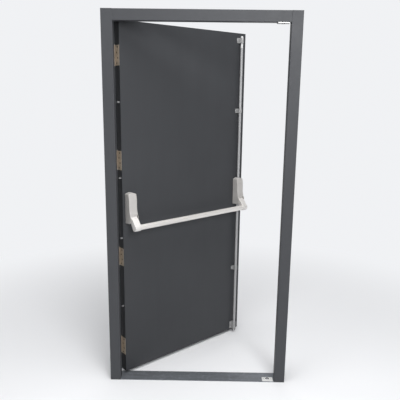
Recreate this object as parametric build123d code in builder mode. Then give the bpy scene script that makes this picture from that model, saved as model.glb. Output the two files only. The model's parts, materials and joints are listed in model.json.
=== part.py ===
from build123d import *
import os
from math import cos, sin, radians

os.makedirs("parts", exist_ok=True)

# A single steel fire exit door in its frame, standing open, seen from inside the building.
# X runs to the right along the frame, Y runs outwards through the doorway and Z runs up.
# The origin is on the floor, in the middle of the frame's width and of its depth.
# Each piece on the leaf is drawn with the door shut, and swung open as it is saved.

# Frame
frame_width = 1000
frame_height = 2025
jamb_face = 58
head_face = 56
stop_depth = 47
shut_depth = 47
rebate = 15
frame_sheet = 2
fold_radius = 2.5
wall_lip = 15
anchor_radius = 5.5
anchor_spacing = 300
anchor_inset = 24

# Threshold
threshold_thickness = 4
threshold_nose = 1.5
threshold_flat = 65

# Seals
seal_width = 10
seal_thickness = 1.7
seal_inset = 2

# Leaf
leaf_thickness = 45
hinge_gap = 4
lock_gap = 3
head_gap = 3
floor_gap = 16
stop_gap = 2
skin = 1.5
skin_radius = 2
skin_flange = 12
skin_edge_break = 0.6
open_angle = 40.8

# Hinges
hinge_count = 4
hinge_above_foot = 157
hinge_below_top = 173
hinge_height = 102
hinge_plate = 3
hinge_setback = 2.5
hinge_clearance = 0.15
knuckle_radius = 6.5
knuckle_count = 5
knuckle_gap = 0.3
pin_radius = 4
pin_running = 0.05
pin_cap = 2
pin_offset = 7
backing_thickness = 5
backing_margin = 15
backing_edge = 2
screw_row_count = 4
screw_end = 10.5
screw_zigzag = 5
screw_depth_in_leaf = 21
screw_head = 5
screw_shank = 2.5

# Dog bolts on the hinge edge
dog_height_ratios = (-1.05, -0.31, 0.31, 1.05)
dog_inset = 13
dog_radius = 5
dog_length = 12
dog_stud_radius = 3
dog_stud_length = 12
dog_tip_break = 1.5
dog_hole_radius = 9

# Panic bolt: places on the leaf, in from its edges and in front of its inner face
end_case_inset = 41
lock_case_inset = 49
rod_standoff = 20
pivot_standoff = 36
pivot_height = 962
bar_standoff = 77
bar_drop = 62

# Cases: heights above and below the pivot
case_half = 25
case_wall = 2.5
case_above = 117
case_below = 48
case_dome = 8
case_depth = 42
case_heel = 4
slope_above = 88
slope_set_back = 8
flare_above = 49
mouth_above = 5
mouth_standoff = 31
cheek_standoff = 58
cheek_below = 10
case_edge_radius = 3
base_thickness = 2.5
base_clearance = 0.2
base_set_in = 8
ear_thickness = 2.1
ear_radius = 8
pivot_radius = 4
case_screw_above = 98
case_screw_below = 32
case_screw_offset = 14
case_screw_head = 4
case_screw_head_height = 2
case_screw_shank = 2
plate_thickness = 3
plate_margin = 3

# Arms and bar
hub_side_gap = 0.2
arm_half = 19
arm_hub_radius = 10
arm_boss_radius = 18
knee_standoff = 60
knee_below = 15
boss_front_turn = 30
boss_rear_turn = 200
bar_radius = 15
bar_wall = 1.5
socket_depth = 12
arm_edge_radius = 2

# Rocker, which turns the push into one bolt up and the other down
rocker_thickness = 3
rocker_rise = 0.5
rocker_arm = 14.5
rocker_end_radius = 4.5
rocker_hub_radius = 7.5
rocker_stud_radius = 3.5
rocker_running = 0.05
carrier_pin_radius = 2.5
carrier_pin_proud = 1
drive_pin_radius = 2
rest_turn = 8.5
finger_ratio = 1.72
finger_tip_standoff = 10.3
finger_half = 2.2
finger_root_wall = 1
fork_gap = 2.9
fork_prong = 3
fork_depth = 4.5
fork_floor_gap = 0.7

# Rods and bolts
rod_radius = 8
rod_wall = 1.5
rod_clearance = 1
carrier_thickness = 3
carrier_gap = 0.4
carrier_slot_gap = 0.4
carrier_prong = 3.5
carrier_side_gap = 0.6
carrier_width = 9.7
carrier_block_height = 16
carrier_block_half = 8
block_from_pivot = 14
spigot_length = 12
bolt_radius = 7
bolt_running = 0.06
bolt_rest_gap = 2
top_bolt_length = 69
bottom_bolt_length = 88
bolt_point_length = 18
bolt_point_radius = 4.5
bolt_tip_break = 2

# Guides
guide_half = 25
guide_foot = 3
guide_shell = 3.5
guide_corner = 7
rod_guide_height = 26
upper_guide_rise = 552
lower_guide_drop = 492
top_guide_below_edge = 58
top_guide_height = 30
bottom_guide_above_edge = 8
bottom_guide_height = 52
guide_screw_offset = 18.5
guide_screw_head = 5
guide_screw_head_height = 3
guide_screw_shank = 2.2
guide_screw_bite = 8

# Keeps
keep_length = 62
keep_width = 40
keep_edge = 2
keep_bevel = 2
top_keep_thickness = 5
floor_keep_thickness = 1.5
keep_hole_radius = 11
keep_corner = 3
keep_screw_offset = 21
keep_screw_head = 3.3
keep_screw_shank = 1.8

# Places worked out from the sizes above
inner_x = frame_width / 2 - jamb_face
rebate_x = inner_x + rebate
front_y = -stop_depth
rear_y = shut_depth
soffit_z = frame_height - head_face
rebate_z = soffit_z + rebate
leaf_left = -rebate_x + hinge_gap
leaf_right = rebate_x - lock_gap
leaf_low = floor_gap
leaf_high = rebate_z - head_gap
leaf_in_y = stop_gap
leaf_out_y = leaf_in_y + leaf_thickness
leaf_width = leaf_right - leaf_left
leaf_height = leaf_high - leaf_low
leaf_middle = ((leaf_left + leaf_right) / 2, (leaf_low + leaf_high) / 2)
frame_plate_x = -rebate_x - frame_sheet + hinge_plate
door_plate_x = leaf_left + skin - hinge_plate
pin_x = (frame_plate_x + door_plate_x) / 2
pin_y = leaf_out_y + pin_offset
plate_in_y = leaf_in_y + hinge_setback
screw_y = leaf_in_y + screw_depth_in_leaf
dog_y = leaf_in_y + dog_inset
hinge_low = leaf_low + hinge_above_foot
hinge_pitch = (leaf_high - hinge_below_top - hinge_low) / (hinge_count - 1)
hinge_heights = [hinge_low + k * hinge_pitch for k in range(hinge_count)]
dog_heights = [(leaf_low + leaf_high) / 2 + k * hinge_pitch for k in dog_height_ratios]
end_case_x = leaf_left + end_case_inset
lock_case_x = leaf_right - lock_case_inset
bar_height = pivot_height - bar_drop
case_high = pivot_height + case_above
case_low = pivot_height - case_below
cheek_height = pivot_height - cheek_below
mouth_height = pivot_height + mouth_above
top_guide_low = leaf_high - top_guide_below_edge
bottom_guide_low = leaf_low + bottom_guide_above_edge
top_bolt_tip = soffit_z - top_keep_thickness - bolt_rest_gap
top_bolt_low = top_bolt_tip - top_bolt_length
bottom_bolt_tip = threshold_thickness + floor_keep_thickness + bolt_rest_gap
bottom_bolt_high = bottom_bolt_tip + bottom_bolt_length
rod_y = leaf_in_y - rod_standoff
keep_x = lock_case_x
keep_y = front_y + keep_edge + keep_width / 2
swing = Pos(pin_x, pin_y, 0) * Rot(0, 0, open_angle) * Pos(-pin_x, -pin_y, 0)

low_end = (Align.CENTER, Align.CENTER, Align.MIN)
high_end = (Align.CENTER, Align.CENTER, Align.MAX)
inner_face = Plane.XZ.offset(-leaf_in_y)


def save(piece, label, place=Location()):
    """Name a finished piece, put it in its place and write it."""
    piece.part.label = label
    export_step(piece.part.moved(place), f"parts/{label}.step")


def at(standoff, height):
    """A point of a side view: its distance in front of the leaf's inner face, and its height."""
    return (leaf_in_y - standoff, height)


def along_x(start, end, radius, y, z, mode=Mode.ADD):
    """A round bar or bore that runs along X."""
    with Locations((start, y, z)):
        Cylinder(radius, end - start, rotation=(0, 90, 0), align=low_end, mode=mode)


def drill(places, radius, depth):
    """Round holes into the leaf from its inner face."""
    with Locations(*[(x, leaf_in_y, z) for x, z in places]):
        Cylinder(radius, depth, rotation=(-90, 0, 0), align=low_end, mode=Mode.SUBTRACT)


def countersunk_screw(head, shank, length, mode=Mode.ADD):
    """A countersunk screw whose head lies flush at the local origin, pointing down."""
    Cylinder(shank, length, align=high_end, mode=mode)
    Cone(shank, head, head - shank, align=high_end, mode=mode)


# Frame: jambs

jamb_outline = (
    (frame_width / 2, front_y),
    (inner_x, front_y),
    (inner_x, 0),
    (rebate_x, 0),
    (rebate_x, rear_y),
    (frame_width / 2, rear_y),
)
anchor_heights = [
    middle + side * anchor_spacing / 2
    for middle in (hinge_low + hinge_pitch / 2, hinge_heights[-1] - hinge_pitch / 2)
    for side in (-1, 1)
]


def make_jamb(side):
    """A full height jamb of folded sheet, open to the wall, on the given side."""
    with BuildPart() as jamb:
        with BuildSketch() as section:
            with BuildLine():
                Polyline(*[(side * x, y) for x, y in jamb_outline], close=True)
            make_face()
            folds = section.vertices().sort_by_distance((side * rebate_x, 0))
            fillet(folds[1:], fold_radius)
            offset(amount=-frame_sheet, mode=Mode.SUBTRACT)
            with Locations((side * frame_width / 2, (front_y + rear_y) / 2)):
                Rectangle(4 * frame_sheet, rear_y - front_y - 2 * wall_lip, mode=Mode.SUBTRACT)
        extrude(amount=frame_height)
        with BuildSketch(Plane.YZ.offset(side * rebate_x)):
            with Locations(*[(anchor_inset, z) for z in anchor_heights]):
                Circle(anchor_radius)
        extrude(amount=2 * frame_sheet, both=True, mode=Mode.SUBTRACT)
        if side < 0:
            with BuildSketch(Plane.YZ.offset(side * rebate_x)):
                with Locations(*[(dog_y, z) for z in dog_heights]):
                    Circle(dog_hole_radius)
            extrude(amount=2 * frame_sheet, both=True, mode=Mode.SUBTRACT)
            notch_low = plate_in_y - hinge_clearance
            with Locations(*[(-rebate_x - frame_sheet, notch_low, z) for z in hinge_heights]):
                Box(
                    2 * frame_sheet,
                    2 * leaf_thickness,
                    hinge_height + 2 * hinge_clearance,
                    align=(Align.MIN, Align.MIN, Align.CENTER),
                    mode=Mode.SUBTRACT,
                )
    return jamb


save(make_jamb(-1), "jamb_hinge_side")
save(make_jamb(1), "jamb_lock_side")


def cut_horns(low, high):
    """Cut both ends of a cross piece back to the jambs' stops, in front of the rebate."""
    horn = rebate_x - inner_x
    for side in (-1, 1):
        with Locations((side * (inner_x + horn / 2), front_y / 2, (low + high) / 2)):
            Box(horn, stop_depth, high - low, mode=Mode.SUBTRACT)


# Frame: head

with BuildPart() as head:
    with BuildSketch(Plane.YZ.offset(-rebate_x)) as head_section:
        with BuildLine():
            Polyline(
                (front_y, frame_height),
                (front_y, soffit_z),
                (0, soffit_z),
                (0, rebate_z),
                (rear_y, rebate_z),
                (rear_y, frame_height),
                close=True,
            )
        make_face()
        head_folds = head_section.vertices().sort_by_distance((0, rebate_z))
        fillet(head_folds[1:], fold_radius)
        offset(amount=-frame_sheet, mode=Mode.SUBTRACT)
        with Locations(((front_y + rear_y) / 2, frame_height)):
            Rectangle(rear_y - front_y - 2 * wall_lip, 4 * frame_sheet, mode=Mode.SUBTRACT)
    extrude(amount=2 * rebate_x)
    cut_horns(soffit_z, frame_height)
    with Locations((keep_x, rod_y, soffit_z)):
        Cylinder(keep_hole_radius, 4 * frame_sheet, mode=Mode.SUBTRACT)
        for side in (-1, 1):
            with Locations((side * keep_screw_offset, 0, 0)):
                Cylinder(keep_screw_shank, 4 * frame_sheet, mode=Mode.SUBTRACT)
save(head, "frame_head")

# Frame: threshold, flat indoors and falling outwards to shed water

with BuildPart() as threshold:
    with BuildSketch(Plane.YZ.offset(-rebate_x)):
        with BuildLine():
            Polyline(
                (front_y, 0),
                (front_y, threshold_thickness),
                (front_y + threshold_flat, threshold_thickness),
                (rear_y, threshold_nose),
                (rear_y, 0),
                close=True,
            )
        make_face()
    extrude(amount=2 * rebate_x)
    cut_horns(0, threshold_thickness)
    with Locations((keep_x, rod_y, 0)):
        Cylinder(keep_hole_radius, 4 * threshold_thickness, mode=Mode.SUBTRACT)
        for side in (-1, 1):
            with Locations((side * keep_screw_offset, 0, 0)):
                Cylinder(keep_screw_shank, 4 * threshold_thickness, mode=Mode.SUBTRACT)
save(threshold, "threshold")

# Seals on the three stop faces

for side, label in ((-1, "seal_hinge_side"), (1, "seal_lock_side")):
    with BuildPart() as seal:
        with Locations((side * (rebate_x - seal_inset - seal_width / 2), 0, threshold_thickness)):
            Box(
                seal_width,
                seal_thickness,
                rebate_z - seal_inset - threshold_thickness,
                align=(Align.CENTER, Align.MIN, Align.MIN),
            )
    save(seal, label)

with BuildPart() as head_seal:
    with Locations((0, 0, rebate_z - seal_inset)):
        Box(
            2 * (rebate_x - seal_inset - seal_width),
            seal_thickness,
            seal_width,
            align=(Align.CENTER, Align.MIN, Align.MAX),
        )
save(head_seal, "seal_head")

# Hinges: each has a frame leaf, a door leaf and a pin

knuckle_height = hinge_height / knuckle_count
screw_pitch = (hinge_height - 2 * screw_end) / (screw_row_count - 1)


def screw_places(face_x, turn, middle):
    """Places of one hinge plate's screws, each head facing along the turned Z axis."""
    places = []
    for row in range(screw_row_count):
        y = screw_y + screw_zigzag * (-1) ** row
        z = middle - hinge_height / 2 + screw_end + row * screw_pitch
        places.append(Location((face_x, y, z), (0, turn, 0)))
    return places


def make_hinge_leaf(face_x, turn, middle, first, bore):
    """One leaf of a butt hinge: a plate, its knuckles from the first on, and screw holes."""
    back = -1 if turn > 0 else 1
    own = range(first, knuckle_count, 2)
    other = range(1 - first, knuckle_count, 2)
    foot = middle - hinge_height / 2
    with BuildPart() as leaf:
        with Locations((face_x + back * hinge_plate / 2, plate_in_y, middle)):
            Box(
                hinge_plate,
                pin_y - plate_in_y,
                hinge_height,
                align=(Align.CENTER, Align.MIN, Align.CENTER),
            )
        with Locations(*[(pin_x, pin_y, foot + k * knuckle_height) for k in other]):
            Cylinder(knuckle_radius + knuckle_gap, knuckle_height, align=low_end, mode=Mode.SUBTRACT)
        with Locations(*[(pin_x, pin_y, foot + k * knuckle_height + knuckle_gap / 2) for k in own]):
            Cylinder(knuckle_radius, knuckle_height - knuckle_gap, align=low_end)
        with Locations((pin_x, pin_y, middle)):
            Cylinder(bore, 2 * hinge_height, mode=Mode.SUBTRACT)
        with Locations(*screw_places(face_x, turn, middle)):
            countersunk_screw(screw_head, screw_shank, 2 * hinge_plate, mode=Mode.SUBTRACT)
    return leaf


screw_length = hinge_plate + backing_thickness

for number, middle in enumerate(hinge_heights, start=1):
    save(make_hinge_leaf(frame_plate_x, 90, middle, 0, pin_radius), f"hinge_{number}_frame_leaf")
    door_leaf = make_hinge_leaf(door_plate_x, -90, middle, 1, pin_radius + pin_running)
    save(door_leaf, f"hinge_{number}_door_leaf", swing)
    with BuildPart() as hinge_pin:
        with Locations((pin_x, pin_y, middle)):
            Cylinder(pin_radius, hinge_height)
        with Locations((pin_x, pin_y, middle + hinge_height / 2)):
            Cylinder(knuckle_radius, pin_cap, align=low_end)
        with Locations((pin_x, pin_y, middle - hinge_height / 2)):
            Cylinder(knuckle_radius, pin_cap, align=high_end)
        caps = hinge_pin.faces().sort_by(Axis.Z)
        chamfer((caps[0].edges(), caps[-1].edges()), pin_cap / 2)
    save(hinge_pin, f"hinge_{number}_pin")


def make_backing(outer_x, direction, face_x, turn):
    """The steel plates that hold the hinge screws, behind the folded sheet."""
    with BuildPart() as backing:
        with Locations(*[(outer_x, leaf_in_y + skin + backing_edge, z) for z in hinge_heights]):
            Box(
                backing_thickness,
                leaf_thickness - 2 * skin - 2 * backing_edge,
                hinge_height + 2 * backing_margin,
                align=(Align.MIN if direction > 0 else Align.MAX, Align.MIN, Align.CENTER),
            )
        for middle in hinge_heights:
            with Locations(*screw_places(face_x, turn, middle)):
                Cylinder(screw_shank, 2 * screw_length, mode=Mode.SUBTRACT)
    return backing


save(make_backing(-rebate_x - frame_sheet, -1, frame_plate_x, 90), "hinge_backing_plates")
save(make_backing(leaf_left + skin, 1, door_plate_x, -90), "hinge_reinforcements", swing)


def make_hinge_screws(face_x, turn):
    """All the screws of one side of the four hinges."""
    with BuildPart() as screws:
        for middle in hinge_heights:
            with Locations(*screw_places(face_x, turn, middle)):
                countersunk_screw(screw_head, screw_shank, screw_length)
    return screws


save(make_hinge_screws(frame_plate_x, 90), "hinge_screws_frame")
save(make_hinge_screws(door_plate_x, -90), "hinge_screws_door", swing)

# Places of everything that is screwed to the leaf's inner face

case_screw_places = [
    (x + side * case_screw_offset, z)
    for x in (end_case_x, lock_case_x)
    for side in (-1, 1)
    for z in (pivot_height - case_screw_below, pivot_height + case_screw_above)
]
upper_guide_middle = pivot_height + upper_guide_rise
lower_guide_middle = pivot_height - lower_guide_drop
guides = {
    "rod_guide_upper": (upper_guide_middle - rod_guide_height / 2, rod_guide_height, rod_radius),
    "rod_guide_lower": (lower_guide_middle - rod_guide_height / 2, rod_guide_height, rod_radius),
    "top_bolt_guide": (top_guide_low, top_guide_height, bolt_radius),
    "bottom_bolt_guide": (bottom_guide_low, bottom_guide_height, bolt_radius),
}
guide_screw_rows = (
    upper_guide_middle,
    lower_guide_middle,
    top_guide_low + top_guide_height / 2,
    bottom_guide_low + bottom_guide_height / 4,
    bottom_guide_low + 3 * bottom_guide_height / 4,
)
guide_screw_places = [
    (lock_case_x + side * guide_screw_offset, z) for side in (-1, 1) for z in guide_screw_rows
]


# Leaf: outer skin, a tray with a flange all round its inner rim

with BuildPart() as outer_skin:
    with BuildSketch(Plane.XZ.offset(-leaf_out_y)):
        with Locations(leaf_middle):
            Rectangle(leaf_width, leaf_height)
    extrude(amount=leaf_thickness - skin)
    fillet(outer_skin.faces().sort_by(Axis.Y)[-1].edges(), skin_radius)
    offset(amount=-skin, openings=outer_skin.faces().sort_by(Axis.Y)[0])
    with BuildSketch(Plane.XZ.offset(-leaf_in_y - skin)):
        with Locations(leaf_middle):
            Rectangle(leaf_width, leaf_height)
            Rectangle(leaf_width - 2 * skin_flange, leaf_height - 2 * skin_flange, mode=Mode.SUBTRACT)
    extrude(amount=-skin)
    with Locations(*[(leaf_left, plate_in_y - hinge_clearance, z) for z in hinge_heights]):
        Box(
            2 * skin,
            2 * leaf_thickness,
            hinge_height + 2 * hinge_clearance,
            align=(Align.CENTER, Align.MIN, Align.CENTER),
            mode=Mode.SUBTRACT,
        )
    for z in dog_heights:
        along_x(leaf_left - skin, leaf_left + 2 * skin, dog_stud_radius, dog_y, z, mode=Mode.SUBTRACT)
save(outer_skin, "leaf_outer_skin", swing)

# Leaf: inner skin, a flat sheet on the tray's flange

with BuildPart() as inner_skin:
    with BuildSketch(Plane.XZ.offset(-leaf_in_y - skin)):
        with Locations(leaf_middle):
            Rectangle(leaf_width, leaf_height)
    extrude(amount=skin)
    chamfer(inner_skin.faces().sort_by(Axis.Y)[0].edges(), skin_edge_break)
    drill(case_screw_places, case_screw_shank, skin)
    drill(guide_screw_places, guide_screw_shank, skin)
save(inner_skin, "leaf_inner_skin", swing)

# Leaf: steel plates under the inner skin, which the panic bolt's cases are screwed to

case_middle = (case_low + case_high) / 2
plate_height = case_high - case_low + 2 * plate_margin
plate_half = case_half + plate_margin
with BuildPart() as hardware_plates:
    with BuildSketch(Plane.XZ.offset(-leaf_in_y - skin)):
        with Locations((end_case_x, case_middle), (lock_case_x, case_middle)):
            Rectangle(2 * plate_half, plate_height)
    extrude(amount=-plate_thickness)
    drill(case_screw_places, case_screw_shank, skin + plate_thickness)
save(hardware_plates, "hardware_reinforcements", swing)

# Leaf: core board, which fills the tray around the plates and screws

with BuildPart() as core:
    with BuildSketch(Plane.XZ.offset(-leaf_out_y + skin)):
        with Locations(leaf_middle):
            Rectangle(leaf_width - 2 * skin, leaf_height - 2 * skin)
    extrude(amount=leaf_thickness - 3 * skin)
    fillet(core.faces().sort_by(Axis.Y)[-1].edges(), skin_radius - skin)
    with BuildSketch(Plane.XZ.offset(-leaf_in_y - skin)):
        with Locations(leaf_middle):
            Rectangle(leaf_width - 2 * skin_flange, leaf_height - 2 * skin_flange)
    extrude(amount=-2 * skin)
    with Locations(*[(leaf_left, leaf_in_y + skin + backing_edge, z) for z in hinge_heights]):
        Box(
            skin + backing_thickness,
            leaf_thickness - 2 * skin - 2 * backing_edge,
            hinge_height + 2 * backing_margin,
            align=(Align.MIN, Align.MIN, Align.CENTER),
            mode=Mode.SUBTRACT,
        )
    for z in dog_heights:
        along_x(leaf_left, leaf_left + dog_stud_length, dog_stud_radius, dog_y, z, mode=Mode.SUBTRACT)
    with BuildSketch(inner_face):
        with Locations((end_case_x, case_middle), (lock_case_x, case_middle)):
            Rectangle(2 * plate_half, plate_height)
    extrude(amount=-skin - plate_thickness, mode=Mode.SUBTRACT)
    drill(guide_screw_places, guide_screw_shank, guide_screw_bite)
save(core, "leaf_core", swing)

# Leaf: dog bolts, which enter the jamb beside the hinges when the door shuts

with BuildPart() as dog_bolts:
    for z in dog_heights:
        along_x(leaf_left, leaf_left + dog_stud_length, dog_stud_radius, dog_y, z)
        along_x(leaf_left - dog_length, leaf_left, dog_radius, dog_y, z)
    chamfer(dog_bolts.edges().filter_by(GeomType.CIRCLE).group_by(Axis.X)[0], dog_tip_break)
save(dog_bolts, "dog_bolts", swing)

# Panic bolt: the base of a case, with two ears for the arm's pivot pin

ear_outer = case_half - case_wall - base_clearance
ear_inner = ear_outer - ear_thickness
stud_top = base_thickness + rocker_rise + rocker_thickness


def make_case_base(x, has_rocker):
    """The pressed base plate of one case, with a rocker stud where it drives the rods."""
    with BuildPart() as base:
        with BuildSketch(inner_face):
            with Locations((x, case_middle)):
                Rectangle(2 * ear_outer, case_high - case_low - 2 * base_set_in)
            with Locations(*case_screw_places):
                Circle(case_screw_shank, mode=Mode.SUBTRACT)
        extrude(amount=base_thickness)
        for side in (-1, 1):
            with BuildSketch(Plane.YZ.offset(x + side * (ear_outer - ear_thickness / 2))):
                with Locations(at(pivot_standoff / 2, pivot_height)):
                    Rectangle(pivot_standoff, 2 * ear_radius)
                with Locations(at(pivot_standoff, pivot_height)):
                    Circle(ear_radius)
                    Circle(pivot_radius, mode=Mode.SUBTRACT)
            extrude(amount=ear_thickness / 2, both=True)
        if has_rocker:
            with BuildSketch(inner_face):
                with Locations((x, pivot_height)):
                    Circle(rocker_stud_radius)
            extrude(amount=stud_top)
            with BuildSketch(inner_face):
                with Locations((x, pivot_height)):
                    Circle(rocker_stud_radius + rocker_rise)
            extrude(amount=base_thickness + rocker_rise)
    return base


save(make_case_base(end_case_x, False), "end_case_base", swing)
save(make_case_base(lock_case_x, True), "lock_case_base", swing)

# Panic bolt: the cast cover of a case, domed on top, whose cheeks flare out beside the arm


def make_case_block(x, inset, edge_radius):
    """The form of a case, made smaller on all sides but its back by the inset."""
    crown = case_high + case_dome - inset
    depth = case_depth - inset
    flare = at(depth, pivot_height + flare_above)
    cheek = at(cheek_standoff - inset, cheek_height + inset)
    half = case_half - inset
    with BuildPart() as block:
        with BuildSketch(Plane.YZ.offset(x)):
            with BuildLine():
                Polyline(
                    flare,
                    at(depth, pivot_height + slope_above),
                    at(depth - slope_set_back, crown),
                    at(0, crown),
                    at(0, case_low + inset),
                    at(case_depth, case_low + case_heel + inset),
                    cheek,
                )
                TangentArc(flare, cheek, tangent=(0, -1))
            make_face()
        extrude(amount=half, both=True)
        with BuildSketch(inner_face):
            with BuildLine():
                Polyline(
                    (x - half, case_high - inset),
                    (x - half, case_low),
                    (x + half, case_low),
                    (x + half, case_high - inset),
                )
                ThreePointArc((x + half, case_high - inset), (x, crown), (x - half, case_high - inset))
            make_face()
        extrude(amount=2 * cheek_standoff, mode=Mode.INTERSECT)
        if edge_radius:
            back = block.faces().filter_by(Plane.XZ).sort_by(Axis.Y)[-1]
            rims = block.edges() - back.edges()
            fillet(rims, edge_radius)
    return block.part


def make_case_cover(x, has_rods):
    """The cover of one case, open behind and below its mouth, where the arm swings."""
    with BuildPart() as cover:
        add(make_case_block(x, 0, case_edge_radius))
        add(make_case_block(x, case_wall, 0), mode=Mode.SUBTRACT)
        with Locations((x, *at(mouth_standoff, mouth_height))):
            Box(
                2 * (case_half - case_wall),
                cheek_standoff,
                case_high,
                align=(Align.CENTER, Align.MAX, Align.MAX),
                mode=Mode.SUBTRACT,
            )
        if has_rods:
            with Locations((x, rod_y, case_middle)):
                Cylinder(rod_radius + rod_clearance, 2 * plate_height, mode=Mode.SUBTRACT)
    return cover


save(make_case_cover(end_case_x, False), "end_case_cover", swing)
save(make_case_cover(lock_case_x, True), "lock_case_cover", swing)

for x, label in ((end_case_x, "end_case_pivot_pin"), (lock_case_x, "lock_case_pivot_pin")):
    with BuildPart() as pivot_pin:
        along_x(x - ear_outer, x + ear_outer, pivot_radius, *at(pivot_standoff, pivot_height))
    save(pivot_pin, label, swing)

with BuildPart() as case_screws:
    with BuildSketch(inner_face.offset(base_thickness)):
        with Locations(*case_screw_places):
            Circle(case_screw_head)
    extrude(amount=case_screw_head_height)
    with BuildSketch(inner_face.offset(base_thickness)):
        with Locations(*case_screw_places):
            Circle(case_screw_shank)
    extrude(amount=-base_thickness - skin - plate_thickness)
save(case_screws, "case_screws", swing)

# Panic bolt: the cast arms, each from its pivot down and out to the bar

hub_half = ear_inner - hub_side_gap
finger_tip = pivot_standoff - finger_tip_standoff
fork_floor = finger_tip - fork_depth


def on_circle(standoff, height, radius, turn):
    """A point of a side view on a circle, turned up from straight out of the leaf."""
    return at(standoff + radius * cos(radians(turn)), height + radius * sin(radians(turn)))


def make_arm(x, inward, has_finger):
    """One arm, whose bar socket opens inwards; the lock side's arm also has the forked finger."""
    knee = at(knee_standoff, pivot_height - knee_below)
    with BuildPart() as arm:
        with BuildSketch(Plane.YZ.offset(x)):
            with BuildLine():
                TangentArc(at(pivot_standoff + arm_hub_radius, pivot_height), knee, tangent=(0, -1))
                Polyline(
                    knee,
                    on_circle(bar_standoff, bar_height, arm_boss_radius, boss_front_turn),
                    at(bar_standoff, bar_height),
                    on_circle(bar_standoff, bar_height, arm_boss_radius, boss_rear_turn),
                    on_circle(pivot_standoff, pivot_height, arm_hub_radius, boss_rear_turn),
                    at(pivot_standoff, pivot_height),
                    at(pivot_standoff + arm_hub_radius, pivot_height),
                )
            make_face()
            with Locations(at(pivot_standoff, pivot_height)):
                Circle(arm_hub_radius)
            with Locations(at(bar_standoff, bar_height)):
                Circle(arm_boss_radius)
        extrude(amount=arm_half, both=True)
        sides = arm.faces().filter_by(Axis.X)
        fillet(sides.edges(), arm_edge_radius)
        hub = (arm_hub_radius, *at(pivot_standoff, pivot_height))
        along_x(x - hub_half, x + hub_half, *hub)
        pivot = (pivot_radius + pin_running, *at(pivot_standoff, pivot_height))
        along_x(x - case_half, x + case_half, *pivot, mode=Mode.SUBTRACT)
        socket = sorted((x + inward * (arm_half - socket_depth), x + inward * case_half))
        along_x(*socket, bar_radius, *at(bar_standoff, bar_height), mode=Mode.SUBTRACT)
        if has_finger:
            finger_plane = Plane(
                origin=(x + rocker_arm, *at(pivot_standoff, pivot_height)),
                x_dir=(0, cos(radians(rest_turn)), sin(radians(rest_turn))),
                z_dir=(1, 0, 0),
            )
            root = pivot_radius + finger_root_wall
            with BuildSketch(finger_plane):
                with Locations(((finger_tip + root) / 2, 0)):
                    Rectangle(finger_tip - root, 2 * (fork_gap + fork_prong))
                with Locations((finger_tip, 0)):
                    Rectangle(2 * fork_depth, 2 * fork_gap, mode=Mode.SUBTRACT)
            extrude(amount=finger_half, both=True)
    return arm


save(make_arm(end_case_x, 1, False), "arm_hinge_side", swing)
save(make_arm(lock_case_x, -1, True), "arm_lock_side", swing)

# Panic bolt: the push bar, a tube held in the arms' sockets

bar_start = end_case_x + arm_half - socket_depth
bar_end = lock_case_x - arm_half + socket_depth
with BuildPart() as bar:
    along_x(bar_start, bar_end, bar_radius, *at(bar_standoff, bar_height))
    along_x(bar_start, bar_end, bar_radius - bar_wall, *at(bar_standoff, bar_height), mode=Mode.SUBTRACT)
save(bar, "push_bar_tube", swing)

# Panic bolt: the rocker, turned by the arm's finger, which moves the two carriers opposite ways

rocker_low = base_thickness + rocker_rise
rocker_turn = rest_turn * finger_ratio
carrier_low = rocker_low + rocker_thickness + carrier_gap
drive_pin_end = pivot_standoff - fork_floor - fork_floor_gap


def on_rocker(reach):
    """The place of a pin at this reach from the rocker's stud, in the rest position."""
    turn = radians(rocker_turn)
    return (lock_case_x + reach * cos(turn), pivot_height + reach * sin(turn))


with BuildPart() as rocker:
    with BuildSketch(inner_face.offset(rocker_low)):
        with Locations(Location((lock_case_x, pivot_height), rocker_turn)):
            SlotCenterToCenter(2 * rocker_arm, 2 * rocker_end_radius)
        with Locations((lock_case_x, pivot_height)):
            Circle(rocker_hub_radius)
            Circle(rocker_stud_radius + rocker_running, mode=Mode.SUBTRACT)
    extrude(amount=rocker_thickness)
    with BuildSketch(inner_face.offset(rocker_low + rocker_thickness)):
        with Locations(on_rocker(-rocker_arm), on_rocker(rocker_arm)):
            Circle(carrier_pin_radius)
    extrude(amount=carrier_gap + carrier_thickness + carrier_pin_proud)
    with BuildSketch(inner_face.offset(rocker_low + rocker_thickness)):
        with Locations(on_rocker(rocker_arm)):
            Circle(drive_pin_radius)
    extrude(amount=drive_pin_end - rocker_low - rocker_thickness)
save(rocker, "rocker", swing)

# Panic bolt: the carriers, each a plate with a fork for the rocker's pin and a block for its rod


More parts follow.
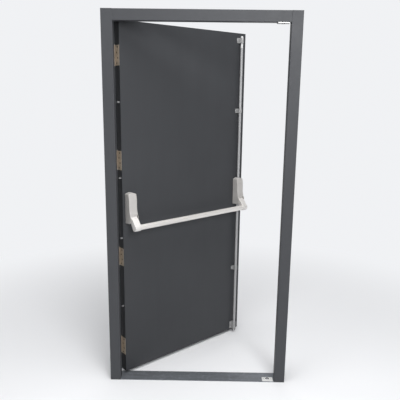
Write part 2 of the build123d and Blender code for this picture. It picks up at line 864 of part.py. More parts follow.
def make_carrier(side, block_low, spigot_up):
    """One carrier, its fork on the given side of the rocker and its block behind the rod."""
    pin_height = on_rocker(side * rocker_arm)[1]
    reach = carrier_pin_radius + carrier_slot_gap + carrier_prong
    block_high = block_low + carrier_block_height
    low = min(pin_height - reach, block_low)
    high = max(pin_height + reach, block_high)
    carrier_outer = ear_inner - carrier_side_gap
    strip_middle = lock_case_x + side * (carrier_outer - carrier_width / 2)
    slot_end = rocker_arm + carrier_pin_radius + carrier_slot_gap
    with BuildPart() as carrier:
        with BuildSketch(inner_face.offset(carrier_low)):
            with Locations((strip_middle, (low + high) / 2)):
                Rectangle(carrier_width, high - low)
            bridge = carrier_outer + carrier_block_half
            with Locations((lock_case_x + side * (carrier_outer - bridge / 2), (block_low + block_high) / 2)):
                Rectangle(bridge, carrier_block_height)
            with Locations((lock_case_x + side * slot_end / 2, pin_height)):
                Rectangle(slot_end, 2 * (carrier_pin_radius + carrier_slot_gap), mode=Mode.SUBTRACT)
        extrude(amount=carrier_thickness)
        with BuildSketch(inner_face.offset(carrier_low)):
            with Locations((lock_case_x, (block_low + block_high) / 2)):
                Rectangle(2 * carrier_block_half, carrier_block_height)
        extrude(amount=rod_standoff + rod_radius - carrier_low)
        with BuildSketch(Plane.XY.offset(block_high if spigot_up else block_low)):
            with Locations((lock_case_x, rod_y)):
                Circle(rod_radius - rod_wall)
        extrude(amount=spigot_length if spigot_up else -spigot_length)
    return carrier


top_block_low = pivot_height + block_from_pivot
top_block_high = top_block_low + carrier_block_height
bottom_block_low = pivot_height - block_from_pivot - carrier_block_height
save(make_carrier(-1, top_block_low, True), "top_rod_carrier", swing)
save(make_carrier(1, bottom_block_low, False), "bottom_rod_carrier", swing)


def make_rod(low, high):
    """A rod of round tube between a carrier and its bolt."""
    with BuildPart() as rod:
        with BuildSketch(Plane.XY.offset(low)):
            with Locations((lock_case_x, rod_y)):
                Circle(rod_radius)
                Circle(rod_radius - rod_wall, mode=Mode.SUBTRACT)
        extrude(amount=high - low)
    return rod


save(make_rod(top_block_high, top_bolt_low), "top_rod", swing)
save(make_rod(bottom_bolt_high, bottom_block_low), "bottom_rod", swing)

with BuildPart() as top_bolt:
    with Locations((lock_case_x, rod_y, top_bolt_low)):
        Cylinder(bolt_radius, top_bolt_tip - top_bolt_low, align=low_end)
        Cylinder(rod_radius - rod_wall, spigot_length, align=high_end)
    chamfer(top_bolt.faces().sort_by(Axis.Z)[-1].edges(), bolt_tip_break)
save(top_bolt, "top_bolt", swing)

with BuildPart() as bottom_bolt:
    with Locations((lock_case_x, rod_y, bottom_bolt_high)):
        Cylinder(bolt_radius, bottom_bolt_high - bottom_bolt_tip - bolt_point_length, align=high_end)
        Cylinder(rod_radius - rod_wall, spigot_length, align=low_end)
    with Locations((lock_case_x, rod_y, bottom_bolt_tip)):
        Cone(bolt_point_radius, bolt_radius, bolt_point_length, align=low_end)
save(bottom_bolt, "bottom_bolt", swing)

# Guides that hold the rods and bolts on the leaf

for label, (low, height, bore) in guides.items():
    with BuildPart() as guide:
        with BuildSketch(Plane.XY.offset(low)):
            with Locations((lock_case_x, leaf_in_y)):
                Rectangle(2 * guide_half, guide_foot, align=(Align.CENTER, Align.MAX))
                Rectangle(2 * (bore + guide_shell), rod_standoff, align=(Align.CENTER, Align.MAX))
            with Locations((lock_case_x, rod_y)):
                Circle(bore + guide_shell)
                Circle(bore + bolt_running, mode=Mode.SUBTRACT)
        extrude(amount=height)
        with BuildSketch(inner_face):
            with Locations((lock_case_x, low + height / 2)):
                RectangleRounded(2 * guide_half, height, guide_corner)
        extrude(amount=2 * rod_standoff, mode=Mode.INTERSECT)
        with BuildSketch(inner_face):
            with Locations(*guide_screw_places):
                Circle(guide_screw_shank)
        extrude(amount=guide_foot, mode=Mode.SUBTRACT)
    save(guide, label, swing)

with BuildPart() as guide_screws:
    with BuildSketch(inner_face.offset(guide_foot)):
        with Locations(*guide_screw_places):
            Circle(guide_screw_head)
    extrude(amount=guide_screw_head_height)
    with BuildSketch(inner_face.offset(guide_foot)):
        with Locations(*guide_screw_places):
            Circle(guide_screw_shank)
    extrude(amount=-guide_foot - guide_screw_bite)
save(guide_screws, "guide_screws", swing)

# Keeps: plates that take the bolts, under the head and on the threshold


def make_keep(low, thickness, head_up):
    """A keep plate with the bolt's hole and two countersunk screw holes."""
    face = low + thickness if head_up else low
    turn = 0 if head_up else 180
    with BuildPart() as keep:
        with BuildSketch(Plane.XY.offset(low)):
            with Locations((keep_x, keep_y)):
                RectangleRounded(keep_length, keep_width, keep_corner)
            with Locations((keep_x, rod_y)):
                Circle(keep_hole_radius, mode=Mode.SUBTRACT)
        extrude(amount=thickness)
        outer_face = keep.faces().filter_by(Plane.XY).sort_by(Axis.Z)[-1 if head_up else 0]
        chamfer(outer_face.outer_wire().edges(), min(keep_bevel, thickness / 2))
        for side in (-1, 1):
            with Locations(Location((keep_x + side * keep_screw_offset, rod_y, face), (turn, 0, 0))):
                countersunk_screw(keep_screw_head, keep_screw_shank, 2 * thickness, mode=Mode.SUBTRACT)
    return keep


save(make_keep(soffit_z - top_keep_thickness, top_keep_thickness, False), "top_keep")
save(make_keep(threshold_thickness, floor_keep_thickness, True), "floor_keep")

with BuildPart() as keep_screws:
    for side in (-1, 1):
        x = keep_x + side * keep_screw_offset
        with Locations(Location((x, rod_y, soffit_z - top_keep_thickness), (180, 0, 0))):
            countersunk_screw(keep_screw_head, keep_screw_shank, top_keep_thickness + frame_sheet)
        with Locations(Location((x, rod_y, threshold_thickness + floor_keep_thickness))):
            countersunk_screw(
                keep_screw_head, keep_screw_shank, threshold_thickness + floor_keep_thickness
            )
save(keep_screws, "keep_screws")
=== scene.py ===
import json
import math

import bmesh
import bpy
from mathutils import Matrix, Vector


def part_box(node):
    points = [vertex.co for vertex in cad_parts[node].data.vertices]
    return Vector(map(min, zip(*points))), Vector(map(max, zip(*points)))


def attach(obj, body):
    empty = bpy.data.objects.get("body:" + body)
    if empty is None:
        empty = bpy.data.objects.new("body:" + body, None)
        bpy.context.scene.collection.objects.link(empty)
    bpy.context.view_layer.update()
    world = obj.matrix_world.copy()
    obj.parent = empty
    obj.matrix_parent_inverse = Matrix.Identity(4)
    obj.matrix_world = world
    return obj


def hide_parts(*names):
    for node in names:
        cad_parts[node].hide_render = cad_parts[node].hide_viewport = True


bl_info = {
    "name": "Fire Exit Door Finishes",
    "version": (1, 0, 0),
    "blender": (4, 5, 0),
    "location": "View3D > Sidebar > Exit Door",
    "description": "Finishes and small parts for a steel fire exit door with a push bar",
    "category": "Object",
}

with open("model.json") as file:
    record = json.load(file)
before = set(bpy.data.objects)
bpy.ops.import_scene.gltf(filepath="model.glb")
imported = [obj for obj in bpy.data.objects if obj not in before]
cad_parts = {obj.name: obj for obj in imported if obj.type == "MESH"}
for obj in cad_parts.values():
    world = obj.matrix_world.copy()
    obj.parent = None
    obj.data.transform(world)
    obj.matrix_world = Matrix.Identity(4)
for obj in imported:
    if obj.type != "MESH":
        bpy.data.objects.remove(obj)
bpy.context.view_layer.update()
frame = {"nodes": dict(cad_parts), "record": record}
NODES = frame["nodes"]

# Places of the CAD model, in metres, with the leaf shut
OPEN_ANGLE = -frame["record"]["behaviour"]["joints"][0]["range_deg"][0]
HINGE_PIN = Vector((-0.45525, 0.054, 0.0))
SWING = (Matrix.Translation(HINGE_PIN) @ Matrix.Rotation(math.radians(OPEN_ANGLE), 4, "Z")
         @ Matrix.Translation(-HINGE_PIN))
FRAME_PLATE_X = -0.456
DOOR_PLATE_X = -0.4545
HINGE_SCREW_Y = 0.023
HINGE_SCREW_ZIGZAG = 0.005
HINGE_SCREW_ROWS = (-0.0405, -0.0135, 0.0135, 0.0405)
LEAF_LEFT = -0.453
LEAF_INNER_Y = 0.002
LEAF_OUTER_Y = 0.047
LOCK_CASE_X = 0.405
ROD_Y = -0.018
GUIDE_FOOT = 0.003
GUIDE_SCREW_X = 0.0185
KEEP_SCREW_X = 0.021
GUIDE_SCREW_SHARES = (0.25, 0.75)

# Screws, in metres from the face they sit on
HINGE_SCREW = dict(foot_radius=0.0025, head_height=0.0024, head_base=-0.0024,
                   shank_radius=0.0025, shank_length=0.008)
GUIDE_SCREW = dict(head_height=0.003, head_base=0.0, shank_radius=0.0022, shank_length=0.011)
KEEP_SCREW = dict(foot_radius=0.0018, head_height=0.0014, head_base=-0.0014,
                  shank_radius=0.0018, shank_length=0.0054)
GUIDE_HEAD_TAPER = 0.72
SHANK_OVERLAP = 0.0004

# Each lamp: place, target, size and share of the key power
LAMPS = {
    "key": ((0.9, -2.6, 2.5), (0.0, 0.2, 1.7), 1.4, 0.6),
    "top": ((0.0, -0.7, 3.9), (0.0, -0.5, 0.0), 2.6, 1.02),
    "fill": ((-2.6, -2.2, 1.6), (0.0, 0.2, 0.9), 2.0, 0.08),
    "back": ((0.3, 2.8, 3.2), (0.0, 0.4, 0.2), 2.4, 0.2),
}
CAMERA_PLACE = (0.0227, -2.61646, 1.63446)
CAMERA_YAW, CAMERA_PITCH, CAMERA_ROLL = -0.00798, 0.21677, -0.01255
FLOOR_HALF = 40
FADE_START, FADE_END = 1.0, 2.8


def middle_of(node):
    """Middle height of a CAD node at rest."""
    low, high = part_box(node)
    return (low[2] + high[2]) / 2


HINGE_HEIGHTS = [middle_of(f"hinge_{number}_frame_leaf") for number in range(1, 5)]


# Settings

def colour_setting(name, description, default):
    return bpy.props.FloatVectorProperty(
        name=name, description=description, subtype="COLOR", size=3, min=0, max=1, default=default)


def length_setting(name, description, default):
    return bpy.props.FloatProperty(
        name=name, description=description, subtype="DISTANCE", unit="LENGTH", min=0, default=default)


def share_setting(name, description, default):
    return bpy.props.FloatProperty(name=name, description=description, min=0, max=5, default=default)


class PaintSettings(bpy.types.PropertyGroup):
    """Paint of the frame and of the leaf."""

    frame_colour: colour_setting(
        "Frame Colour", "Powder coat on the jambs and the head", (0.058, 0.060, 0.065))
    leaf_colour: colour_setting(
        "Leaf Colour", "Powder coat on both faces and the edges of the leaf", (0.046, 0.048, 0.052))
    roughness: share_setting("Roughness", "How matt the powder coat is", 0.46)
    grain: length_setting("Grain Size", "Width of one bump of the coat's fine skin", 0.0016)
    wear_width: length_setting("Wear Width", "How far the rubbed paler edge of the coat reaches", 0.0012)


class MetalSettings(bpy.types.PropertyGroup):
    """Colours of the metal pieces."""

    case_colour: colour_setting(
        "Case Colour", "Silver lacquer on the two cases", (0.57, 0.55, 0.53))
    # The arms use the cases' silver lacquer set lighter: partly the lacquer, partly a painted highlight
    arm_paint_and_highlight_colour: colour_setting("Arm Colour", "Silver lacquer on the two arms", (0.78, 0.755, 0.73))
    bar_colour: colour_setting("Bar Colour", "Anodised skin of the push bar", (0.88, 0.85, 0.82))
    rod_colour: colour_setting("Rod Colour", "Lacquer on the two rods", (0.44, 0.44, 0.445))
    guide_colour: colour_setting("Guide Colour", "Lacquer on the rod guides", (0.36, 0.36, 0.36))
    bolt_colour: colour_setting("Bolt Colour", "Coating of the top bolt", (0.70, 0.70, 0.70))
    hinge_colour: colour_setting("Hinge Colour", "Bronze finish of the hinges", (0.50, 0.43, 0.35))
    zinc_colour: colour_setting("Zinc Colour", "Plated screws, bolts, pins and plates", (0.52, 0.52, 0.53))
    threshold_colour: colour_setting(
        "Threshold Colour", "Brushed plate under the doorway", (0.23, 0.245, 0.27))


class ScrewSettings(bpy.types.PropertyGroup):
    """Sizes of the screws."""

    hinge_head: length_setting("Hinge Screw Head", "Radius of a screw head in a hinge plate", 0.0049)
    guide_head: length_setting("Guide Screw Head", "Radius of a screw head on a rod guide", 0.0050)
    keep_head: length_setting("Keep Screw Head", "Radius of a screw head in a keep plate", 0.0032)
    recess_width: length_setting("Recess Width", "Width of one arm of the cross in a head", 0.0010)
    recess_depth: length_setting("Recess Depth", "Depth of the cross in a head", 0.0014)


class StageSettings(bpy.types.PropertyGroup):
    """Floor, lights and camera."""

    floor_colour: colour_setting("Floor Colour", "Colour of the plain floor", (0.86, 0.865, 0.88))
    surround_colour: colour_setting("Surround Colour", "Colour behind the door", (0.875, 0.885, 0.905))
    sky_strength: share_setting("Sky Strength", "Even light from all round", 0.29)
    key_power: bpy.props.FloatProperty(
        name="Key Power", description="Power of the large soft lamp", subtype="POWER",
        min=0, max=2000, default=105)
    lens: bpy.props.FloatProperty(
        name="Lens", description="Focal length in mm on a 36 mm wide sensor",
        min=10, max=200, default=44.64)


# Materials

def socket_of(sockets, name, kind):
    """The socket of a Mix node that has this name and type."""
    return next(s for s in sockets if s.name == name and s.type == kind)


class Finish:
    """A node material, built step by step round one Principled shader."""

    def __init__(self, name, colour, roughness, metallic=0.0):
        self.material = bpy.data.materials.new(name)
        self.material.use_nodes = True
        self.material.diffuse_color = (*colour, 1)
        self.tree = self.material.node_tree
        self.shader = self.tree.nodes["Principled BSDF"]
        self.colour = self.shader.inputs["Base Color"]
        self.colour.default_value = (*colour, 1)
        self.shader.inputs["Roughness"].default_value = roughness
        self.shader.inputs["Metallic"].default_value = metallic
        self.place = self.tree.nodes.new("ShaderNodeTexCoord").outputs["Object"]
        self.normal = None

    def add(self, kind, **values):
        """Add a node and set its properties and inputs by name."""
        node = self.tree.nodes.new(kind)
        for key, value in values.items():
            if hasattr(node, key):
                setattr(node, key, value)
            else:
                node.inputs[key.replace("_", " ")].default_value = value
        return node

    def link(self, out, into):
        self.tree.links.new(out, into)

    def stretched(self, scale):
        """The object's own coordinates, scaled along each axis."""
        mapping = self.add("ShaderNodeMapping", Scale=scale)
        self.link(self.place, mapping.inputs["Vector"])
        return mapping.outputs["Vector"]

    def noise(self, scale, detail=3.0, stretch=None):
        node = self.add("ShaderNodeTexNoise", Scale=scale, Detail=detail)
        self.link(self.stretched(stretch) if stretch else self.place, node.inputs["Vector"])
        return node.outputs["Fac"]

    def cells(self, scale, stretch=(1.0, 1.0, 1.0)):
        node = self.add("ShaderNodeTexVoronoi", Scale=scale)
        self.link(self.stretched(stretch), node.inputs["Vector"])
        return node.outputs["Distance"]

    def spread(self, value, low, high, start=0.3, end=0.7):
        """Map a texture's range from start to end onto low to high."""
        node = self.add("ShaderNodeMapRange", From_Min=start, From_Max=end, To_Min=low, To_Max=high)
        self.link(value, node.inputs["Value"])
        return node.outputs["Result"]

    def tint(self, factor, colour):
        """Mix another colour over the base colour by a factor."""
        node = self.add("ShaderNodeMix", data_type="RGBA")
        under = socket_of(node.inputs, "A", "RGBA")
        if self.colour.is_linked:
            self.link(self.colour.links[0].from_socket, under)
        else:
            under.default_value = self.colour.default_value
        socket_of(node.inputs, "B", "RGBA").default_value = (*colour, 1)
        self.link(factor, node.inputs["Factor"])
        self.link(socket_of(node.outputs, "Result", "RGBA"), self.colour)

    def vary_roughness(self, value, low, high):
        self.link(self.spread(value, low, high), self.shader.inputs["Roughness"])

    def bump(self, value, distance, strength=1.0):
        """Add a bump of the given depth to those already there."""
        node = self.add("ShaderNodeBump", Strength=strength, Distance=distance)
        self.link(value, node.inputs["Height"])
        if self.normal:
            self.link(self.normal, node.inputs["Normal"])
        self.normal = node.outputs["Normal"]
        self.link(self.normal, self.shader.inputs["Normal"])

    def edges(self, width):
        """How much a spot lies on an edge of the form, broken up by a noise."""
        rounded = self.add("ShaderNodeBevel", samples=4, Radius=width)
        flat = self.add("ShaderNodeNewGeometry")
        turn = self.add("ShaderNodeVectorMath", operation="DOT_PRODUCT")
        self.link(rounded.outputs["Normal"], turn.inputs[0])
        self.link(flat.outputs["Normal"], turn.inputs[1])
        worn = self.add("ShaderNodeMath", operation="MULTIPLY")
        self.link(self.spread(turn.outputs["Value"], 0.0, 1.0, 0.98, 0.80), worn.inputs[0])
        self.link(self.spread(self.noise(60.0, 4.0), 0.0, 1.0), worn.inputs[1])
        return worn.outputs["Value"]


def scaled(colour, share):
    return tuple(min(1.0, part * share) for part in colour)


def powder_coat(name, colour, paint):
    """Satin powder coat: a fine skin, large pale clouds that are partly random tone and partly a painted
    sheen, dust and rubbed edges.
    """
    coat = Finish(name, colour, paint.roughness)
    # Large pale clouds: partly random tone of the coat, partly a painted sheen standing for the soft
    # reflection across the leaf
    coat.tint(coat.spread(coat.noise(1.7, 4.0), 0.0, 0.45), scaled(colour, 1.25))
    coat.tint(coat.spread(coat.noise(420.0, 2.0), 0.0, 0.12), scaled(colour, 1.7))
    coat.tint(coat.spread(coat.noise(1.0, 5.0, (22.0, 22.0, 2.5)), 0.0, 0.12), scaled(colour, 0.7))
    worn = coat.add("ShaderNodeMath", operation="MULTIPLY")
    coat.link(coat.edges(paint.wear_width), worn.inputs[0])
    worn.inputs[1].default_value = 0.35
    coat.tint(worn.outputs["Value"], scaled(colour, 2.6))
    coat.vary_roughness(coat.noise(9.0, 5.0), paint.roughness - 0.05, paint.roughness + 0.07)
    coat.bump(coat.noise(1 / paint.grain, 2.0), 0.00012, 0.35)
    coat.bump(coat.noise(26.0, 1.0), 0.0004, 0.06)
    coat.shader.inputs["Specular IOR Level"].default_value = 0.2
    return coat.material


def cast_lacquer(name, colour, shine=0.30):
    """Silver lacquer over a casting: fine flake, a little sag and handled edges."""
    cast = Finish(name, colour, 0.42, shine)
    cast.tint(cast.spread(cast.cells(1400.0), 0.0, 0.22), scaled(colour, 0.72))
    cast.tint(cast.spread(cast.noise(38.0, 4.0), 0.0, 0.3), scaled(colour, 1.12))
    cast.tint(cast.edges(0.0009), scaled(colour, 1.3))
    cast.vary_roughness(cast.noise(70.0, 4.0), 0.38, 0.52)
    cast.bump(cast.noise(900.0, 2.0), 0.00008, 0.3)
    cast.bump(cast.noise(60.0, 2.0), 0.0004, 0.12)
    return cast.material


def brushed(name, colour, roughness, stretch, metallic=0.85):
    """Metal with fine lines along the axis that is stretched least."""
    metal = Finish(name, colour, roughness, metallic)
    lines = metal.noise(1.0, 3.0, stretch)
    metal.tint(metal.spread(lines, 0.0, 0.45), scaled(colour, 0.78))
    metal.vary_roughness(lines, roughness - 0.06, roughness + 0.08)
    metal.bump(lines, 0.00005, 0.35)
    metal.bump(metal.noise(14.0, 4.0), 0.0003, 0.08)
    return metal


def scuffed(metal, colour):
    """Add the scuffs and dirt that feet leave on a threshold."""
    metal.tint(metal.spread(metal.noise(1.0, 6.0, (7.0, 60.0, 60.0)), 0.0, 0.6), scaled(colour, 0.55))
    metal.tint(metal.spread(metal.noise(46.0, 6.0), 0.0, 0.25, 0.5, 0.75), scaled(colour, 1.9))
    return metal


def plated(name, colour, roughness=0.34):
    """Zinc plating with its soft mottled crystals."""
    zinc = Finish(name, colour, roughness, 0.8)
    zinc.tint(zinc.spread(zinc.cells(260.0), 0.0, 0.35), scaled(colour, 0.8))
    zinc.vary_roughness(zinc.noise(90.0, 3.0), roughness - 0.06, roughness + 0.1)
    zinc.bump(zinc.noise(500.0, 3.0), 0.00005, 0.3)
    return zinc.material


def bronze(name, colour):
    """Bronze finish, darker in random patches and rubbed to brass in spots."""
    metal = Finish(name, colour, 0.45, 0.35)
    metal.tint(metal.spread(metal.noise(55.0, 5.0), 0.0, 0.6), scaled(colour, 0.5))
    metal.tint(metal.spread(metal.noise(210.0, 4.0), 0.0, 0.45), scaled(colour, 1.5))
    metal.tint(metal.edges(0.0008), scaled(colour, 1.8))
    metal.vary_roughness(metal.noise(120.0, 3.0), 0.36, 0.56)
    metal.bump(metal.noise(700.0, 2.0), 0.00006, 0.35)
    return metal.material


def rubber(name, colour):
    """Matt ribbed seal strip with a little chalky bloom."""
    strip = Finish(name, colour, 0.75)
    strip.tint(strip.spread(strip.noise(30.0, 4.0), 0.0, 0.5), scaled(colour, 2.2))
    strip.bump(strip.noise(1.0, 1.0, (1500.0, 1500.0, 2.0)), 0.0001, 0.4)
    strip.bump(strip.noise(800.0, 2.0), 0.00008, 0.25)
    return strip.material


def board(name, colour):
    """Pressed board with visible chips."""
    wood = Finish(name, colour, 0.85)
    wood.tint(wood.spread(wood.cells(160.0, (1.0, 1.0, 0.4)), 0.0, 0.7), scaled(colour, 0.6))
    wood.bump(wood.noise(300.0, 4.0), 0.0004, 0.4)
    return wood.material


def zinc_plating(metal):
    """The zinc plating that many small pieces share, made once."""
    return bpy.data.materials.get("zinc_plating") or plated("zinc_plating", tuple(metal.zinc_colour))


def dress(material, *names):
    """Give CAD nodes a material on every slot."""
    for name in names:
        slots = NODES[name].data.materials
        slots.clear()
        slots.append(material)


# Mesh tools

def new_piece(name, bm):
    """An object at the origin, with a mesh whose faces point outwards."""
    mesh = bpy.data.meshes.new(name)
    piece = bpy.data.objects.new(name, mesh)
    bpy.context.scene.collection.objects.link(piece)
    bmesh.ops.recalc_face_normals(bm, faces=bm.faces)
    bm.to_mesh(mesh)
    bm.free()
    return piece


def extrude_outline(bm, outline, low, high):
    """A closed prism on an outline of x and y, between two heights, in its swung place."""
    rings = [[bm.verts.new(SWING @ Vector((x, y, z))) for x, y in outline] for z in (low, high)]
    bm.faces.new(rings[0])
    bm.faces.new(rings[1])
    count = len(outline)
    for k in range(count):
        after = (k + 1) % count
        bm.faces.new((rings[0][k], rings[0][after], rings[1][after], rings[1][k]))


def turn_profile(bm, profile, x, y, steps=40):
    """A closed ring round an upright axis, from the radius and height pairs of its section."""
    turns = [2 * math.pi * k / steps for k in range(steps)]
    rings = [[bm.verts.new((x + radius * math.cos(a), y + radius * math.sin(a), z)) for a in turns]
             for radius, z in profile]
    for low, high in zip(rings, rings[1:] + rings[:1]):
        for k in range(steps):
            after = (k + 1) % steps
            bm.faces.new((low[k], low[after], high[after], high[k]))


# Screws: one node tree makes a screw and sets it on every point

class NodeTree:
    """A Geometry Nodes tree, built step by step."""

    def __init__(self, name):
        self.group = bpy.data.node_groups.new(name, "GeometryNodeTree")
        self.group.interface.new_socket("Geometry", in_out="INPUT", socket_type="NodeSocketGeometry")
        self.group.interface.new_socket("Geometry", in_out="OUTPUT", socket_type="NodeSocketGeometry")
        self.enter = self.group.nodes.new("NodeGroupInput")
        self.leave = self.group.nodes.new("NodeGroupOutput")

    def setting(self, name, kind, default):
        socket = self.group.interface.new_socket(name, in_out="INPUT", socket_type=kind)
        socket.default_value = default
        return self.enter.outputs[name]

    def add(self, kind, *links, **values):
        """Add a node, set its properties, and link or set its inputs by name."""
        node = self.group.nodes.new(kind)
        for key, value in values.items():
            setattr(node, key, value)
        for name, source in links:
            socket = next(s for s in node.inputs if s.name == name and s.enabled and not s.is_linked
                          or s.name == name and s.is_multi_input)
            if isinstance(source, bpy.types.NodeSocket):
                self.group.links.new(source, socket)
            else:
                socket.default_value = source
        return node

    def math(self, operation, first, second):
        node = self.add("ShaderNodeMath", operation=operation)
        for socket, source in zip(node.inputs, (first, second)):
            if isinstance(source, bpy.types.NodeSocket):
                self.group.links.new(source, socket)
            else:
                socket.default_value = source
        return node.outputs["Value"]

    def at_height(self, height):
        return self.add("ShaderNodeCombineXYZ", ("Z", height)).outputs["Vector"]


def screw_tree():
    """Screws with a cross recess, on points that carry the direction their heads face."""
    if "screws" in bpy.data.node_groups:
        return bpy.data.node_groups["screws"]
    tree = NodeTree("screws")
    head = tree.setting("Head Radius", "NodeSocketFloat", 0.005)
    foot = tree.setting("Foot Radius", "NodeSocketFloat", 0.0025)
    height = tree.setting("Head Height", "NodeSocketFloat", 0.0025)
    base = tree.setting("Head Base", "NodeSocketFloat", -0.0025)
    shank = tree.setting("Shank Radius", "NodeSocketFloat", 0.0025)
    length = tree.setting("Shank Length", "NodeSocketFloat", 0.008)
    width = tree.setting("Recess Width", "NodeSocketFloat", 0.001)
    depth = tree.setting("Recess Depth", "NodeSocketFloat", 0.001)
    seed = tree.setting("Seed", "NodeSocketInt", 1)
    finish = tree.setting("Finish", "NodeSocketMaterial", None)

    cone = tree.add("GeometryNodeMeshCone", ("Vertices", 28), ("Radius Top", head),
                    ("Radius Bottom", foot), ("Depth", height), fill_type="NGON")
    cone = tree.add("GeometryNodeTransform", ("Geometry", cone.outputs["Mesh"]),
                    ("Translation", tree.at_height(base)))
    body_length = tree.math("ADD", length, base)
    body = tree.add("GeometryNodeMeshCylinder", ("Vertices", 20), ("Radius", shank),
                    ("Depth", tree.math("ADD", body_length, SHANK_OVERLAP)))
    half_way = tree.math("MULTIPLY", tree.math("SUBTRACT", base, length), 0.5)
    middle = tree.math("ADD", half_way, SHANK_OVERLAP / 2)
    body = tree.add("GeometryNodeTransform", ("Geometry", body.outputs["Mesh"]),
                    ("Translation", tree.at_height(middle)))
    whole = tree.add("GeometryNodeMeshBoolean", operation="UNION", solver="EXACT")
    for piece in (cone, body):
        tree.group.links.new(piece.outputs["Geometry"], whole.inputs["Mesh 2"])

    arm = tree.math("MULTIPLY", head, 1.15)
    double = tree.math("MULTIPLY", depth, 2.0)
    top = tree.at_height(tree.math("ADD", base, height))
    cross = tree.add("GeometryNodeMeshBoolean", operation="UNION", solver="EXACT")
    for x, y in ((arm, width), (width, arm)):
        size = tree.add("ShaderNodeCombineXYZ", ("X", x), ("Y", y), ("Z", double))
        slot = tree.add("GeometryNodeMeshCube", ("Size", size.outputs["Vector"]))
        tree.group.links.new(slot.outputs["Mesh"], cross.inputs["Mesh 2"])
    cross = tree.add("GeometryNodeTransform", ("Geometry", cross.outputs["Mesh"]), ("Translation", top))
    cut = tree.add("GeometryNodeMeshBoolean", operation="DIFFERENCE", solver="EXACT")
    tree.group.links.new(whole.outputs["Mesh"], cut.inputs["Mesh 1"])
    tree.group.links.new(cross.outputs["Geometry"], cut.inputs["Mesh 2"])

    facing = tree.add("GeometryNodeInputNamedAttribute", ("Name", "facing"), data_type="FLOAT_VECTOR")
    turn = tree.add("FunctionNodeAlignRotationToVector", ("Vector", facing.outputs["Attribute"]), axis="Z")
    roll = tree.add("FunctionNodeRandomValue", ("Min", 0.0), ("Max", math.pi), ("Seed", seed))
    roll_turn = tree.add("ShaderNodeCombineXYZ", ("Z", roll.outputs[1]))
    roll_turn = tree.add("FunctionNodeEulerToRotation", ("Euler", roll_turn.outputs["Vector"]))
    turned = tree.add("FunctionNodeRotateRotation", ("Rotation", turn.outputs["Rotation"]),
                      ("Rotate By", roll_turn.outputs["Rotation"]), rotation_space="LOCAL")
    placed = tree.add("GeometryNodeInstanceOnPoints", ("Points", tree.enter.outputs["Geometry"]),
                      ("Instance", cut.outputs["Mesh"]), ("Rotation", turned.outputs["Rotation"]))
    real = tree.add("GeometryNodeRealizeInstances", ("Geometry", placed.outputs["Instances"]))
    done = tree.add("GeometryNodeSetMaterial", ("Geometry", real.outputs["Geometry"]), ("Material", finish))
    tree.group.links.new(done.outputs["Geometry"], tree.leave.inputs["Geometry"])
    return tree.group


def set_screws(name, places, body, slot, replaced, material, **sizes):
    """Screws at the given places and facings, turned into one plain mesh on its body."""
    points = bpy.data.meshes.new(name + "_points")
    points.from_pydata([place for place, facing in places], [], [])
    facing = points.attributes.new("facing", "FLOAT_VECTOR", "POINT")
    for item, (place, direction) in zip(facing.data, places):
        item.vector = direction
    source = bpy.data.objects.new(name + "_points", points)
    bpy.context.scene.collection.objects.link(source)
    tree = screw_tree()
    modifier = source.modifiers.new("screws", "NODES")
    modifier.node_group = tree
    values = {key.replace("_", " ").title(): value for key, value in sizes.items()}
    values["Finish"] = material
    for item in tree.interface.items_tree:
        if item.in_out == "INPUT" and item.name in values:
            modifier[item.identifier] = values[item.name]
    evaluated = source.evaluated_get(bpy.context.evaluated_depsgraph_get())
    mesh = bpy.data.meshes.new_from_object(evaluated)
    bpy.data.objects.remove(source)
    piece = bpy.data.objects.new(name, mesh)
    bpy.context.scene.collection.objects.link(piece)
    if not mesh.polygons:
        raise RuntimeError(f"no screws were made for {name}")
    mesh.name = name
    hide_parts(replaced)
    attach(piece, body)


# Steps

